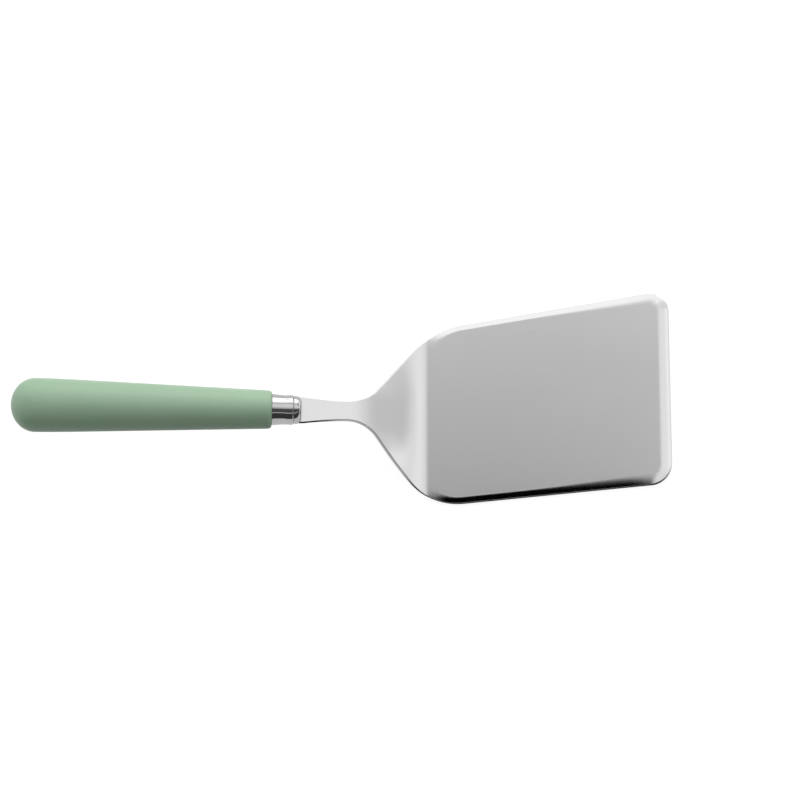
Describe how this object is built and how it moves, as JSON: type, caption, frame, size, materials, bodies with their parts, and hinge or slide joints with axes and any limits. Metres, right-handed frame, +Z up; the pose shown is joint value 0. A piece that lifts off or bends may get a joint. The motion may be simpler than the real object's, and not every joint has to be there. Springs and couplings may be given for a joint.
{
  "type": "lasagna server",
  "caption": "Wide flat serving blade with ground facets on its sides and front, a cranked neck and shank, a slotted bolster, a flared ferrule and a round tapered handle.",
  "frame": {"origin": "middle of the blade's flat underside, between the heel line and the front edge", "axes": "+X towards the blade's front edge, +Z up from the blade's serving face; the handle rises towards -X"},
  "size_m": [0.2724, 0.0866, 0.0919],
  "materials": {
    "satin_steel": "finely satined stainless steel, brighter on the ground facets",
    "bright_chrome": "mirror-polished",
    "sage_resin": "satin, sage green, moulded",
    "cured_adhesive": "hidden, cured resin adhesive"
  },
  "bodies": {
    "root": {"blade": "satin_steel", "bolster": "bright_chrome", "ferrule": "bright_chrome", "handle": "sage_resin", "tang_adhesive": "cured_adhesive"}
  },
  "joints": []
}
